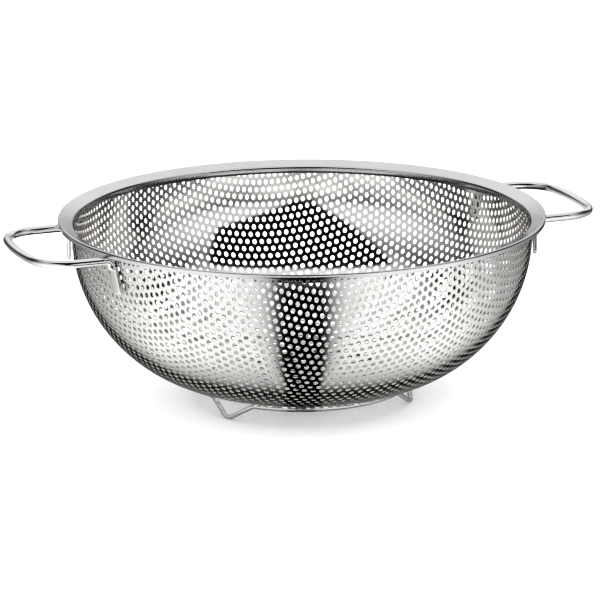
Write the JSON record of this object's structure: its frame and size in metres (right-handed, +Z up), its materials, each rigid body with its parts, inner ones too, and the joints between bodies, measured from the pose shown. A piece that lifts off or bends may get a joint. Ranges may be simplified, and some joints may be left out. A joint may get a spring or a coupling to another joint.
{
  "type": "colander",
  "caption": "Round deep-drawn perforated steel colander with a folded rim band, wire loop handles and a wire base ring with V feet",
  "frame": {"origin": "centre of the underside, on the surface that the feet stand on", "axes": "+Z up along the bowl's axis, +X through the middle of the right handle"},
  "size_m": [0.346, 0.2802, 0.109],
  "materials": {
    "bowl_steel": "polished stainless steel",
    "rim_steel": "satin stainless steel",
    "wire_steel": "polished stainless steel wire",
    "ring_steel": "polished stainless steel wire"
  },
  "bodies": {
    "root": {"perforated_bowl": "bowl_steel", "rim_band": "rim_steel", "left_handle": "wire_steel", "right_handle": "wire_steel", "base_ring": "ring_steel"}
  },
  "joints": []
}
